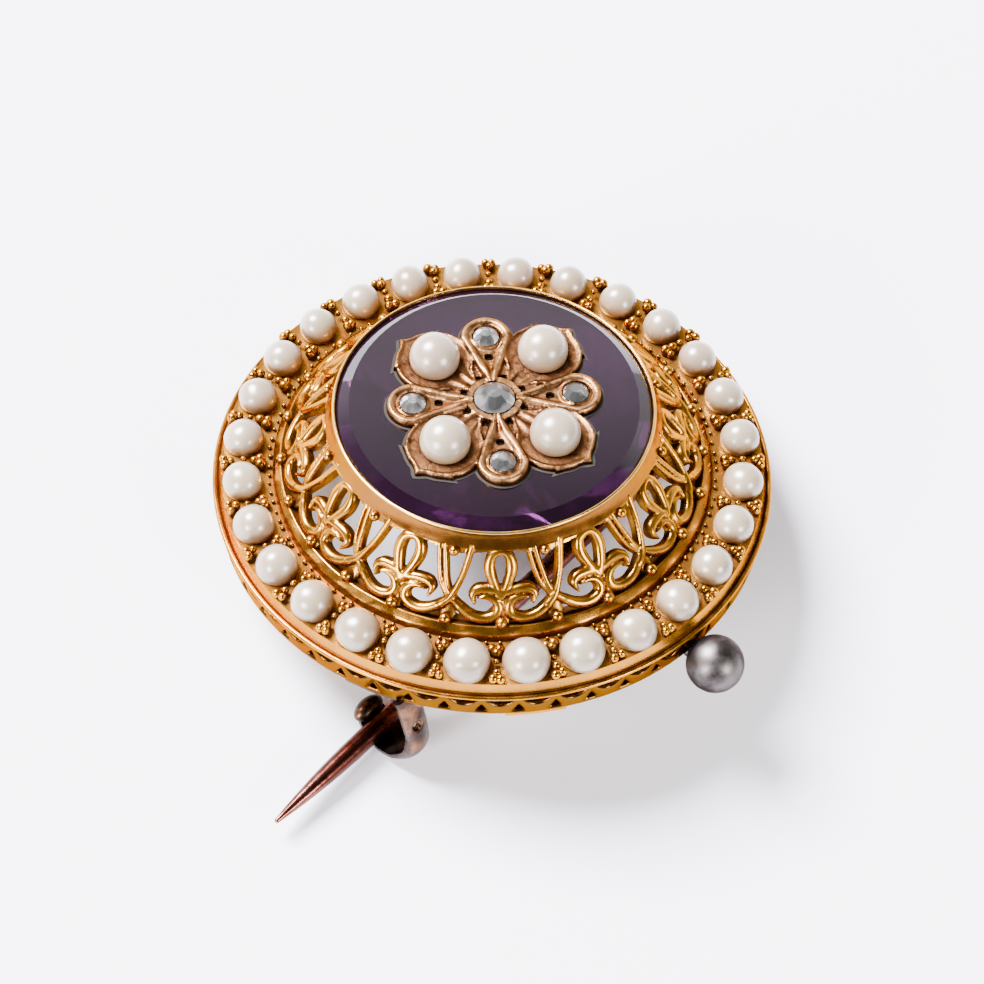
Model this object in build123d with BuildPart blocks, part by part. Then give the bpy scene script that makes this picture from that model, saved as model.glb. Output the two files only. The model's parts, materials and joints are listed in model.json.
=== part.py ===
from build123d import *

import os
from math import cos, hypot, pi, radians, sin, sqrt, tan

os.makedirs("parts", exist_ok=True)

# A round pierced gold brooch. Sizes are millimetres and degrees.
# The pieces are drawn in the brooch's own frame: Z runs up its axis through the stone's
# face, height 0 is the top edge of the outer rim, X points to the pin's tip and Y to the
# top of the brooch as it is worn. The last section lays them down as they rest.

# Gap that separates pieces which are seated against each other
seat_gap = 0.03

# Outer rim, scalloped gallery below it and flat ring at the back
rim_radius = 16.12
rim_wall = 0.28
rim_depth = 0.30
rim_overhang = 0.27
gallery_wall = 0.45
gallery_drop = 1.75
arch_count = 48
arch_gap_width = 0.80
arch_gap_height = 0.60
gallery_wire = 0.36
back_ring_width = 2.95
back_ring_thickness = 0.40
patch_start = 46.0
patch_sweep = 12.5
patch_width = 0.75
patch_thickness = 0.22

# Border of pearls, each in a cup sunk in a raised deck; they grow towards one side
border_pearl_radius = 1.18
large_pearl_radius = 1.40
large_pearl_turn = 40.0
pearl_growth = 4
pearl_turn = -0.8
pearl_spacing = 0.40
pearl_inset = 1.72
pearl_rise = 0.19
pearl_sink = 0.50
cove_width = 0.22
cove_foot = 0.10
deck_height = 0.85
deck_inner_lip = 0.38
deck_thickness = 1.20

# Collar and pierced cone that climbs to the stone
collar_step = 0.08
collar_set_in = 0.07
cone_rise = 3.95
shell_thickness = 0.75
unit_count = 12
unit_turn = 16.4
groove_from = 0.115
groove_to = 0.165
groove_depth = 0.35

# Stone and the bezel round it
stone_radius = 8.93
girdle_height = 0.70
bevel_width = 0.72
bevel_height = 0.45
pavilion_depth = 7.2
culet_radius = 0.7
pavilion_facets = 16
upper_facet_height = 1.6
bezel_foot = 0.57
bezel_lip = 0.15
bezel_rise = 0.98
bezel_over = 0.16
bearing_width = 0.45
bearing_depth = 0.30

# Flower on the stone's table
flower_thickness = 0.60
flower_sink = 0.12
corner_step = 0.14
flower_turn = 49.3
cup_depth = 0.30
petal_border = 0.75
petal_margin = 2.11
petal_tip_radius = 0.3
petal_inner_reach = 1.3
pearl_border = 0.82
cusp_margin = 1.21
cusp_border = 1.2
cusp_spread = 36.0
cusp_dip = 0.03
hub_border = 0.55
web_share = 0.92
petal_pearl_radius = 1.43
petal_pearl_rise = 0.30
centre_diamond_radius = 1.15
petal_diamond_radius = 0.74
diamond_facets = 8
diamond_height_share = 0.62
diamond_table_share = 0.40
diamond_girdle = 0.18

# Hook, hinge and pin at the back
lean = 11.3
pin_fall = 6.3
pin_radius = 0.62
pin_point_radius = 0.16
pin_belly = 0.52
pin_overhang = 8.7
pin_offset = 4.55
pin_rest_angle = 235.0
hook_radius = 2.1
hook_strip = 0.45
hook_width = 2.3
hook_inset = 0.10
hook_lip_radius = 0.52
hook_lip_width = 1.5
hook_lip_angle = 200.0
hook_hole_radius = 0.38
hook_hole_rise = 1.7
hook_rise_angle = -8.0
hook_foot_length = 4.9
hook_foot_width = 2.5
hook_foot_thickness = 0.35
eye_radius = 0.88
eye_width = 1.3
lug_thickness = 0.65
rivet_radius = 0.40
rivet_head = 0.25
running_gap = 0.05
side_gap = 0.10

# Ball on a short stem at the top of the brooch
ball_radius = 1.66
ball_clear = 0.03
ball_turn = 88.8
ball_drop = 0.05
stem_radius = 0.42
stem_seat = 1.6

# Radii and heights worked out from the sizes above
gallery_outer = rim_radius - rim_overhang
gallery_inner = gallery_outer - gallery_wall
back_inner = gallery_outer - back_ring_width
back_z = -gallery_drop
rim_inner = rim_radius - rim_wall
deck_outer = rim_inner - cove_width
pearl_circle = rim_radius - pearl_inset
pearl_z = deck_height + pearl_rise
pearl_base_z = deck_height - pearl_sink
pearl_count = int(2 * pi * pearl_circle / (2 * large_pearl_radius + pearl_spacing))
large_cup_radius = sqrt(large_pearl_radius**2 - pearl_rise**2) + seat_gap
deck_inner = pearl_circle - large_cup_radius - deck_inner_lip
deck_under_z = deck_height - deck_thickness
foot_radius = deck_inner - collar_set_in
foot_z = deck_height + collar_step
bezel_inner = stone_radius + 2 * seat_gap
cone_top_radius = bezel_inner + bezel_foot
cone_top_z = foot_z + cone_rise
slant = hypot(foot_radius - cone_top_radius, cone_rise)
cone_out = cone_rise / slant
cone_up = (foot_radius - cone_top_radius) / slant
bezel_top_z = cone_top_z + bezel_rise
girdle_top_z = bezel_top_z - bezel_over
girdle_z = girdle_top_z - girdle_height
table_z = girdle_top_z + bevel_height
table_radius = stone_radius - bevel_width
culet_z = girdle_z - pavilion_depth
gap_depth = 1.4 * shell_thickness
pavilion_slope = pavilion_depth / (stone_radius - culet_radius)
facet_corner = 1 / cos(pi / pavilion_facets)

pieces = []


def keep(piece, node):
    """Name a finished piece and add it to the list that is laid down at the end."""
    piece.part.label = node
    pieces.append(piece.part)


def pearl_angle(number):
    """Angle of a border pearl about the axis, in degrees."""
    return pearl_turn + (number - 1) * 360 / pearl_count


def pearl_radius(number):
    """Radius of a border pearl: it grows towards the side with the largest."""
    nearness = (1 + cos(radians(pearl_angle(number) - large_pearl_turn))) / 2
    growth = large_pearl_radius - border_pearl_radius
    return border_pearl_radius + growth * nearness**pearl_growth


def cone_radius(height_share):
    """Radius of the cone's outer face at a share of its slant height."""
    return foot_radius + (cone_top_radius - foot_radius) * height_share


def cone_plane(turn):
    """Plane that touches the cone's outer face half way up, at an angle about the axis."""
    middle = cone_radius(0.5)
    angle = radians(turn)
    return Plane(
        origin=(middle * cos(angle), middle * sin(angle), foot_z + cone_rise / 2),
        x_dir=(-sin(angle), cos(angle), 0),
        z_dir=(cone_out * cos(angle), cone_out * sin(angle), cone_up),
    )


def cone_spot(pitch_share, height_share, centre=0.0):
    """A point of the pattern, as shares of a unit's pitch and of the slant height."""
    across = radians((pitch_share - centre) * 360 / unit_count) * cone_radius(height_share)
    return (across, (height_share - 0.5) * slant)


def gap_outline(turn, outline):
    """Face of one gap, inside the cone's wall: arcs through three spots each, in order."""
    with BuildSketch(cone_plane(turn).offset(-gap_depth)) as gap:
        with BuildLine():
            for arc in outline:
                ThreePointArc(*arc)
        make_face()
    return gap.sketch.face()


# One unit's gaps in the pierced cone. Columns: share of the pitch from the unit's middle,
# share of the slant height.
LOOP = {
    "foot": (0.0, 0.575),
    "side": (0.085, 0.79),
    "crown": (0.0, 0.935),
}
SCROLL = {
    "eye": (0.090, 0.41),
    "belly": (0.230, 0.235),
    "horn": (0.425, 0.52),
    "brow": (0.365, 0.49),
    "leaf_tip": (0.315, 0.40),
    "curl": (0.205, 0.515),
}
CHINK = {
    "top_in": (0.215, 0.915),
    "top": (0.245, 0.935),
    "top_out": (0.275, 0.915),
    "out": (0.293, 0.81),
    "foot_out": (0.295, 0.705),
    "foot": (0.255, 0.69),
    "foot_in": (0.213, 0.705),
    "in": (0.222, 0.81),
}
VEE = {
    "foot": (0.5, 0.55),
    "side": (0.455, 0.72),
    "corner": (0.410, 0.88),
    "crown": (0.5, 0.91),
}
SCROLL_CENTRE = 0.25
CHINK_CENTRE = 0.255


def unit_outlines(turn):
    """Outlines of one unit's gaps: loop, two scrolls, two chinks and the vee beside it."""
    pitch = 360 / unit_count
    outlines = []

    foot, crown = cone_spot(*LOOP["foot"]), cone_spot(*LOOP["crown"])
    across, up = cone_spot(*LOOP["side"])
    loop_arcs = [(foot, (across, up), crown), (crown, (-across, up), foot)]
    outlines.append(gap_outline(turn, loop_arcs))

    for side in (1, -1):
        spot = {}
        for name, (pitch_share, height_share) in SCROLL.items():
            across, up = cone_spot(pitch_share, height_share, SCROLL_CENTRE)
            spot[name] = (side * across, up)
        scroll_arcs = [
            (spot["eye"], spot["belly"], spot["horn"]),
            (spot["horn"], spot["brow"], spot["leaf_tip"]),
            (spot["leaf_tip"], spot["curl"], spot["eye"]),
        ]
        outlines.append(gap_outline(turn + side * SCROLL_CENTRE * pitch, scroll_arcs))

    for side in (1, -1):
        spot = {}
        for name, (pitch_share, height_share) in CHINK.items():
            across, up = cone_spot(pitch_share, height_share, CHINK_CENTRE)
            spot[name] = (side * across, up)
        chink_arcs = [
            (spot["top_in"], spot["top"], spot["top_out"]),
            (spot["top_out"], spot["out"], spot["foot_out"]),
            (spot["foot_out"], spot["foot"], spot["foot_in"]),
            (spot["foot_in"], spot["in"], spot["top_in"]),
        ]
        outlines.append(gap_outline(turn + side * CHINK_CENTRE * pitch, chink_arcs))

    foot, crown = cone_spot(*VEE["foot"], 0.5), cone_spot(*VEE["crown"], 0.5)
    side_across, side_up = cone_spot(*VEE["side"], 0.5)
    corner_across, corner_up = cone_spot(*VEE["corner"], 0.5)
    left, right = (corner_across, corner_up), (-corner_across, corner_up)
    vee_arcs = [
        (foot, (side_across, side_up), left),
        (left, crown, right),
        (right, (-side_across, side_up), foot),
    ]
    outlines.append(gap_outline(turn + pitch / 2, vee_arcs))
    return outlines


# All gaps of the pierced cone as one set of cutting prisms
with BuildPart() as cone_gaps:
    gap_outlines = []
    for unit in range(unit_count):
        gap_outlines += unit_outlines(unit_turn + unit * 360 / unit_count)
    extrude(gap_outlines, amount=2 * gap_depth)

# Gaps of the scalloped gallery, between the arches that hang from the rim
with BuildPart() as gallery_gaps:
    gap_foot = back_z + gallery_wire
    gap_half = arch_gap_width / 2
    gap_side = (0.36 * gap_half, gap_foot + 0.40 * arch_gap_height)
    gap_tip = (0, gap_foot + arch_gap_height)
    with BuildSketch(Plane.YZ.offset(gallery_inner - gallery_wall)):
        with BuildLine():
            Line((-gap_half, gap_foot), (gap_half, gap_foot))
            ThreePointArc((gap_half, gap_foot), gap_side, gap_tip)
            ThreePointArc(gap_tip, (-gap_side[0], gap_side[1]), (-gap_half, gap_foot))
        make_face()
    extrude(amount=3 * gallery_wall)

# Gold frame: one soldered piece, turned from its half section and then pierced
bearing_inner = bezel_inner - bearing_width
corner_reach = stone_radius * facet_corner - bezel_inner
bearing_top_z = girdle_z - corner_reach * pavilion_slope - 2 * seat_gap
bearing_low_z = bearing_top_z - bearing_width * pavilion_slope
inner_foot_radius = foot_radius - shell_thickness * cone_out
inner_foot_z = foot_z - shell_thickness * cone_up
ledge_z = bearing_low_z - bearing_depth
ledge_radius = inner_foot_radius - (ledge_z - inner_foot_z) * cone_up / cone_out

with BuildPart() as gold_frame:
    with BuildSketch(Plane.XZ):
        with BuildLine():
            Polyline(
                (deck_outer, deck_height),
                (deck_inner, deck_height),
                (foot_radius, foot_z),
                (cone_top_radius, cone_top_z),
                (bezel_inner + bezel_lip, bezel_top_z),
                (bezel_inner, bezel_top_z),
                (bezel_inner, bearing_top_z),
                (bearing_inner, bearing_low_z),
                (bearing_inner, ledge_z),
                (ledge_radius, ledge_z),
                (inner_foot_radius, inner_foot_z),
                (inner_foot_radius + collar_set_in, deck_under_z),
                (gallery_inner, deck_under_z),
                (gallery_inner, back_z + back_ring_thickness),
                (back_inner, back_z + back_ring_thickness),
                (back_inner, back_z),
                (gallery_outer, back_z),
                (gallery_outer, -rim_depth),
                (rim_radius, -rim_depth),
                (rim_radius, 0),
                (rim_inner, 0),
                (rim_inner, -cove_foot),
            )
            ThreePointArc(
                (rim_inner, -cove_foot),
                (deck_outer + 0.4 * cove_width, 0.3 * deck_height),
                (deck_outer, deck_height),
            )
        make_face()
    revolve(axis=Axis.Z)

    # Groove between the collar and the scrolls
    with BuildSketch(Plane.XZ):
        with BuildLine():
            Polyline(
                (cone_radius(groove_from), foot_z + cone_rise * groove_from),
                (
                    cone_radius(groove_from) - groove_depth * cone_out,
                    foot_z + cone_rise * groove_from - groove_depth * cone_up,
                ),
                (
                    cone_radius(groove_to) - groove_depth * cone_out,
                    foot_z + cone_rise * groove_to - groove_depth * cone_up,
                ),
                (cone_radius(groove_to), foot_z + cone_rise * groove_to),
                close=True,
            )
        make_face()
    revolve(axis=Axis.Z, mode=Mode.SUBTRACT)

    # Cups for the border pearls
    with BuildSketch(Plane.XY.offset(pearl_base_z - seat_gap)):
        for number in range(1, pearl_count + 1):
            with PolarLocations(pearl_circle, 1, start_angle=pearl_angle(number)):
                Circle(sqrt(pearl_radius(number) ** 2 - pearl_rise**2) + seat_gap)
    extrude(amount=deck_thickness, mode=Mode.SUBTRACT)

    # Strip soldered under the gallery
    with BuildSketch(Plane.XZ.rotated((0, 0, patch_start))):
        with BuildLine():
            Polyline(
                (gallery_outer - patch_width, back_z),
                (gallery_outer, back_z),
                (gallery_outer, back_z - patch_thickness),
                (gallery_outer - patch_width, back_z - patch_thickness),
                close=True,
            )
        make_face()
    revolve(axis=Axis.Z, revolution_arc=patch_sweep)

    add(cone_gaps.part, mode=Mode.SUBTRACT)
    with PolarLocations(0, arch_count):
        add(gallery_gaps.part, mode=Mode.SUBTRACT)

keep(gold_frame, "gold_frame")

# Amethyst: bevelled crown over a faceted pavilion, with a shallow seat for the flower
upper_low_z = girdle_z - upper_facet_height
upper_low_reach = facet_corner * (stone_radius - upper_facet_height / pavilion_slope)
upper_slope = upper_facet_height / (stone_radius - upper_low_reach)


def pavilion_facet_cut(slope, half_steps):
    """Pyramid of facets that meets the girdle, cut out of the stone's round blank."""
    with BuildPart() as pyramid:
        for height in (culet_z, table_z + seat_gap):
            reach = stone_radius - (girdle_z - height) / slope
            with BuildSketch(Plane.XY.offset(height)):
                RegularPolygon(
                    reach,
                    pavilion_facets,
                    major_radius=False,
                    rotation=half_steps * 180 / pavilion_facets,
                )
        loft(ruled=True)
    return pyramid.part


# Outline of the flower: teardrops on the axes, cusped petals between them
teardrop_radius = petal_diamond_radius + petal_border
teardrop_spot = table_radius - petal_margin - teardrop_radius
corner_radius = petal_pearl_radius + pearl_border
cusp_reach = petal_pearl_radius + cusp_border
corner_spot = table_radius - cusp_margin - cusp_reach
corner_turn = 45.0
web_radius = web_share * teardrop_spot
flower_z = table_z - flower_sink + seat_gap
flower_top_z = flower_z + flower_thickness
corner_top_z = flower_top_z - corner_step


def teardrop_faces(margin=0.0):
    """Four teardrops and the hub, widened all round by a margin."""
    with BuildSketch() as teardrop:
        with Locations((teardrop_spot, 0)):
            Circle(teardrop_radius + margin)
        with Locations((petal_inner_reach, 0)):
            Circle(petal_tip_radius + margin)
        make_hull()
    with BuildSketch() as teardrops:
        Circle(centre_diamond_radius + hub_border + margin)
        with PolarLocations(0, 4, start_angle=flower_turn):
            add(teardrop.sketch)
    return teardrops.sketch


def corner_faces(margin=0.0):
    """Four cusped petals round the pearls and the web between them, widened by a margin."""
    spread = radians(cusp_spread)
    petal_radius = corner_radius + margin
    hump = (corner_spot + petal_radius * cos(spread), petal_radius * sin(spread))
    tip = (corner_spot + cusp_reach + 1.5 * margin, 0)
    flank = ((hump[0] + tip[0]) / 2 - cusp_dip, hump[1] / 2 - cusp_dip)
    with BuildSketch() as corner:
        with Locations((corner_spot, 0)):
            Circle(petal_radius)
        with Locations((petal_inner_reach, 0)):
            Circle(petal_tip_radius + margin)
        make_hull()
        with BuildLine():
            ThreePointArc(hump, flank, tip)
            ThreePointArc(tip, (flank[0], -flank[1]), (hump[0], -hump[1]))
            Line((hump[0], -hump[1]), hump)
        make_face()
    with BuildSketch() as corners:
        Circle(web_radius + margin)
        with PolarLocations(0, 4, start_angle=flower_turn + corner_turn):
            add(corner.sketch)
    return corners.sketch


def ring_spots(radius, turn):
    """Four spots round the middle of the flower, turned with it."""
    angles = [radians(flower_turn + turn + 90 * step) for step in range(4)]
    return [(radius * cos(angle), radius * sin(angle)) for angle in angles]


diamond_spots = ring_spots(teardrop_spot, 0)
pearl_spots = ring_spots(corner_spot, corner_turn)
petal_pearl_z = corner_top_z + petal_pearl_rise
petal_cup_radius = sqrt(petal_pearl_radius**2 - petal_pearl_rise**2) + seat_gap

with BuildPart() as amethyst:
    with BuildSketch(Plane.XZ):
        with BuildLine():
            Polyline(
                (0, culet_z),
                (stone_radius, culet_z),
                (stone_radius, girdle_top_z),
                (table_radius, table_z),
                (0, table_z),
                close=True,
            )
        make_face()
    revolve(axis=Axis.Z)
    add(pavilion_facet_cut(pavilion_slope, 0), mode=Mode.INTERSECT)
    add(pavilion_facet_cut(upper_slope, 1), mode=Mode.INTERSECT)
    with BuildSketch(Plane.XY.offset(table_z - flower_sink)):
        add(teardrop_faces(seat_gap))
        add(corner_faces(seat_gap))
    extrude(amount=2 * flower_sink, mode=Mode.SUBTRACT)

keep(amethyst, "amethyst")

# Flower: corner petals one step lower than the teardrops, with a cup for every stone
with BuildPart() as flower_mount:
    with BuildSketch(Plane.XY.offset(flower_z)):
        add(corner_faces())
    extrude(amount=corner_top_z - flower_z)
    with BuildSketch(Plane.XY.offset(flower_z)):
        add(teardrop_faces())
    extrude(amount=flower_thickness)
    with BuildSketch(Plane.XY.offset(corner_top_z - cup_depth)):
        with Locations(*pearl_spots):
            Circle(petal_cup_radius)
    extrude(amount=flower_thickness, mode=Mode.SUBTRACT)
    with BuildSketch(Plane.XY.offset(flower_top_z - cup_depth)):
        Circle(centre_diamond_radius + seat_gap)
        with Locations(*diamond_spots):
            Circle(petal_diamond_radius + seat_gap)
    extrude(amount=flower_thickness, mode=Mode.SUBTRACT)

keep(flower_mount, "flower_mount")


def cut_pearl(radius, centre_z, base_z, spot):
    """Pearl with a flat filed on its underside, as it sits in its cup."""
    with BuildPart() as pearl:
        with Locations((spot[0], spot[1], centre_z)):
            Sphere(radius)
        split(bisect_by=Plane.XY.offset(base_z), keep=Keep.TOP)
    return pearl


def cut_diamond(radius, base_z, spot):
    """Small stone with a flat back, a girdle, two rows of facets and a table."""
    corner = 1 / cos(pi / diamond_facets)
    girdle = base_z + diamond_girdle
    top = base_z + 2 * radius * diamond_height_share / 2 + diamond_girdle / 2
    table = radius * diamond_table_share
    rows = ((table, 0), (corner * (radius + table) - radius, 180 / diamond_facets))
    with BuildPart() as stone:
        with Locations((spot[0], spot[1], base_z)):
            Cylinder(radius, top - base_z, align=(Align.CENTER, Align.CENTER, Align.MIN))
        for top_reach, turn in rows:
            climb = (radius - top_reach) / (top - girdle)
            with BuildPart(mode=Mode.INTERSECT):
                for height in (base_z, top):
                    reach = radius - (height - girdle) * climb
                    with BuildSketch(Plane((spot[0], spot[1], height))):
                        RegularPolygon(
                            reach,
                            diamond_facets,
                            major_radius=False,
                            rotation=flower_turn + turn,
                        )
                loft(ruled=True)
    return stone


keep(cut_diamond(centre_diamond_radius, flower_top_z - cup_depth + seat_gap, (0, 0)), "centre_diamond")
for number, spot in enumerate(diamond_spots, 1):
    stone = cut_diamond(petal_diamond_radius, flower_top_z - cup_depth + seat_gap, spot)
    keep(stone, f"petal_diamond_{number}")
for number, spot in enumerate(pearl_spots, 1):
    pearl = cut_pearl(petal_pearl_radius, petal_pearl_z, corner_top_z - cup_depth + seat_gap, spot)
    keep(pearl, f"petal_pearl_{number}")
for number in range(1, pearl_count + 1):
    angle = radians(pearl_angle(number))
    spot = (pearl_circle * cos(angle), pearl_circle * sin(angle))
    keep(cut_pearl(pearl_radius(number), pearl_z, pearl_base_z, spot), f"border_pearl_{number:02d}")

# Floor under the lying brooch: it touches the back ring's edge, the hook and the hinge
slope_x = tan(radians(pin_fall))
slope_y = tan(radians(lean))
steepness = sqrt(1 + slope_x**2 + slope_y**2)
floor_up = Vector(slope_x, slope_y, 1) / steepness
pin_way = Vector(cos(radians(pin_fall)), 0, -sin(radians(pin_fall)))


def floor_z(x, y):
    """Height of the floor below a spot of the brooch."""
    return back_z - gallery_outer * hypot(slope_x, slope_y) - slope_x * x - slope_y * y


# Pin's line: it lies in the bottom of the hook, level with the floor
back_low_z = back_z - seat_gap
hook_inner = hook_radius - hook_strip
pin_seat = hook_inner - pin_radius - seat_gap
pin_aside = -pin_seat * cos(radians(pin_rest_angle))
pin_down = -pin_seat * sin(radians(pin_rest_angle))
pin_lift = hook_radius - pin_aside * floor_up.Y - pin_down * hypot(floor_up.X, floor_up.Z)
hook_y = pin_offset + pin_aside
hook_x = sqrt(gallery_outer**2 - hook_y**2) - hook_inset - hook_width / 2
hook_centre = Vector(hook_x, hook_y, floor_z(hook_x, hook_y) + hook_radius * steepness)
hinge_x = -sqrt(((gallery_outer + back_inner) / 2) ** 2 - pin_offset**2)
hinge_centre = Vector(hinge_x, pin_offset, floor_z(hinge_x, pin_offset) + pin_lift * steepness)
hinge_width = eye_width + 2 * side_gap + 2 * lug_thickness
lug_radius = (pin_lift - hinge_width / 2 * floor_up.Y) / hypot(floor_up.X, floor_up.Z)
pin_span = (hook_centre - hinge_centre).dot(pin_way)
pin_plane = Plane(origin=hinge_centre, x_dir=pin_way, z_dir=(0, -1, 0))

# Hook: a drilled strip that narrows round the bend to its rolled lip, on a foot plate
hook_plane = Plane(origin=hook_centre, x_dir=(0, 1, 0), z_dir=pin_way)
hook_line = hook_radius - hook_strip / 2
hook_rise = (back_z - hook_centre.Z) / pin_way.X + hook_width * slope_x
lip = radians(hook_lip_angle)
rise = radians(hook_rise_angle)
rise_start = (hook_line * cos(rise), hook_line * sin(rise))
lip_spot = (hook_line * cos(lip), hook_line * sin(lip))
taper_end = hook_line + hook_lip_radius
hook_half = hook_width / 2
lip_half = hook_lip_width / 2

with BuildPart() as hook:
    with BuildSketch(hook_plane):
        with BuildLine() as hook_path:
            ThreePointArc(lip_spot, (0, -hook_line), rise_start)
            TangentArc(rise_start, (hook_line, hook_rise), tangent=(-sin(rise), cos(rise)))
        trace(hook_path.line, line_width=hook_strip)
        with Locations(lip_spot):
            Circle(hook_lip_radius)
    extrude(amount=hook_half, both=True)
    with BuildSketch(Plane(origin=hook_centre, x_dir=(0, 1, 0), z_dir=pin_way.cross(Vector(0, 1, 0)))):
        with BuildLine():
            Polyline(
                (2 * hook_radius, hook_half),
                (0, hook_half),
                (-taper_end, lip_half),
                (-taper_end, -lip_half),
                (0, -hook_half),
                (2 * hook_radius, -hook_half),
                close=True,
            )
        make_face()
    extrude(amount=3 * hook_radius, both=True, mode=Mode.INTERSECT)
    with BuildSketch(Plane(origin=hook_centre, x_dir=pin_way, z_dir=(0, 1, 0))):
        with Locations((0, -hook_hole_rise)):
            Circle(hook_hole_radius)
    extrude(amount=2 * hook_radius, mode=Mode.SUBTRACT)
    split(bisect_by=Plane.XY.offset(back_low_z), keep=Keep.BOTTOM)
    with BuildSketch(Plane.XY.offset(back_low_z)):
        with Locations((hook_centre.X, hook_centre.Y)):
            Rectangle(hook_foot_width, hook_foot_length)
        Circle(gallery_outer, mode=Mode.INTERSECT)
    extrude(amount=-hook_foot_thickness)

keep(hook, "hook")

# Hinge: two lugs on a base plate
with BuildPart() as hinge:
    with BuildSketch(Plane.XZ.offset(-pin_offset)):
        with Locations((hinge_centre.X, hinge_centre.Z)):
            Circle(lug_radius)
        with Locations((hinge_centre.X, (hinge_centre.Z + back_low_z) / 2)):
            Rectangle(2 * lug_radius, back_low_z - hinge_centre.Z)
    extrude(amount=hinge_width / 2, both=True)
    with Locations((hinge_centre.X, pin_offset, back_low_z - hook_foot_thickness)):
        Box(
            3 * lug_radius,
            eye_width + 2 * side_gap,
            4 * lug_radius,
            align=(Align.CENTER, Align.CENTER, Align.MAX),
            mode=Mode.SUBTRACT,
        )
    with BuildSketch(Plane.XZ.offset(-pin_offset)):
        with Locations((hinge_centre.X, hinge_centre.Z)):
            Circle(rivet_radius + seat_gap)
    extrude(amount=hinge_width, both=True, mode=Mode.SUBTRACT)

keep(hinge, "hinge")

# Rivet through the lugs, headed at both ends
head_radius = 1.7 * rivet_radius
head_spot = hinge_width / 2 + seat_gap
with BuildPart() as hinge_rivet:
    with BuildSketch(Plane.XZ.offset(-pin_offset)):
        with Locations((hinge_centre.X, hinge_centre.Z)):
            Circle(rivet_radius)
    extrude(amount=head_spot, both=True)
    for side in (1, -1):
        with BuildSketch(Plane.XZ.offset(-pin_offset + side * head_spot)):
            with Locations((hinge_centre.X, hinge_centre.Z)):
                Circle(head_radius)
        extrude(amount=side * rivet_head)

keep(hinge_rivet, "hinge_rivet")

# Pin: an eye, a round shaft and a long point past the hook
taper_start = pin_span + hook_half
pin_length = pin_span + pin_overhang
with BuildPart() as pin:
    with BuildSketch(pin_plane):
        with BuildLine():
            Polyline(
                (pin_length, 0),
                (0, 0),
                (0, pin_radius),
                (taper_start, pin_radius),
            )
            ThreePointArc(
                (taper_start, pin_radius),
                ((taper_start + pin_length) / 2, pin_belly),
                (pin_length - pin_point_radius, pin_point_radius),
            )
            ThreePointArc(
                (pin_length - pin_point_radius, pin_point_radius),
                (pin_length - (1 - sin(radians(45))) * pin_point_radius, sin(radians(45)) * pin_point_radius),
                (pin_length, 0),
            )
        make_face()
    revolve(axis=Axis(hinge_centre, pin_way))
    with BuildSketch(pin_plane):
        Circle(eye_radius)
    extrude(amount=eye_width / 2, both=True)
    with BuildSketch(pin_plane):
        Circle(rivet_radius + running_gap)
    extrude(amount=eye_width, both=True, mode=Mode.SUBTRACT)

keep(pin, "pin")

# Ball on its stem, under the back ring
ball_spot = gallery_outer + ball_clear + ball_radius
ball_way = Plane.XY.rotated((0, 0, ball_turn))
with BuildPart(ball_way) as ball_knob:
    with Locations((ball_spot, 0, back_z + ball_drop)):
        Sphere(ball_radius)
    with Locations((gallery_outer - stem_seat, 0, back_low_z - stem_radius)):
        Cylinder(
            stem_radius,
            stem_seat + ball_clear + ball_radius,
            rotation=(0, 90, 0),
            align=(Align.CENTER, Align.CENTER, Align.MIN),
        )

keep(ball_knob, "ball_knob")

# Lay the brooch down on its fittings and write every piece
rest = Plane(origin=(0, 0, floor_z(0, 0)), x_dir=pin_way, z_dir=floor_up).location.inverse()
lying = [piece.moved(rest) for piece in pieces]
extent = Compound(children=[piece.moved(rest) for piece in pieces]).bounding_box()
home = Location((-extent.center().X, -extent.center().Y, -extent.min.Z))
for piece, laid in zip(pieces, lying):
    placed = laid.moved(home)
    placed.label = piece.label
    export_step(placed, f"parts/{piece.label}.step")
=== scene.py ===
import json
import math

import bpy
import numpy as np
from mathutils import Matrix, Vector


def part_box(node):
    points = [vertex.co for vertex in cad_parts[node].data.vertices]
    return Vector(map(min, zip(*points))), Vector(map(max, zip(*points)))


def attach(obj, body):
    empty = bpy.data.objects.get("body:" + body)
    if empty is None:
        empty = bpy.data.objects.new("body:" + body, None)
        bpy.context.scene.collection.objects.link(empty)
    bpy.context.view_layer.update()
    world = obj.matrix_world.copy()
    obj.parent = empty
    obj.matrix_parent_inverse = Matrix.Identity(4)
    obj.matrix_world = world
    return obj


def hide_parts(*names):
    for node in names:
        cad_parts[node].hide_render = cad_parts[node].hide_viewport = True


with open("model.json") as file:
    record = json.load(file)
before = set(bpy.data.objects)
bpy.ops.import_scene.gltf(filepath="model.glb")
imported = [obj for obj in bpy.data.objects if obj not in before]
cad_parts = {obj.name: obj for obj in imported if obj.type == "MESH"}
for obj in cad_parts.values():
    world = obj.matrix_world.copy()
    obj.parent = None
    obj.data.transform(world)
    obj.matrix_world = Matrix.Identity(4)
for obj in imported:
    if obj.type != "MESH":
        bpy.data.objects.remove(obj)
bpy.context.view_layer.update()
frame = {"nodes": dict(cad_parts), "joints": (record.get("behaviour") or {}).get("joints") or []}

# Sizes are millimetres and degrees in the brooch's own frame, as in the CAD source: Z runs up
# the axis through the stone's face, height 0 is the top of the outer rim, X points to the
# pin's tip and Y to the ball. The matrix `laid` carries them to the lying brooch in metres.
MM = 0.001
PIN_FALL = math.radians(6.3)

RIM_RADIUS = 16.12
RIM_INNER = 15.84
RIM_DEPTH = 0.30
GALLERY_OUTER = 15.85
GALLERY_WALL = 0.45
GALLERY_INNER = GALLERY_OUTER - GALLERY_WALL
BACK_Z = -1.75
BACK_RING_TOP = -1.35
BACK_INNER = 12.9
ARCH_COUNT = 48

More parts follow.
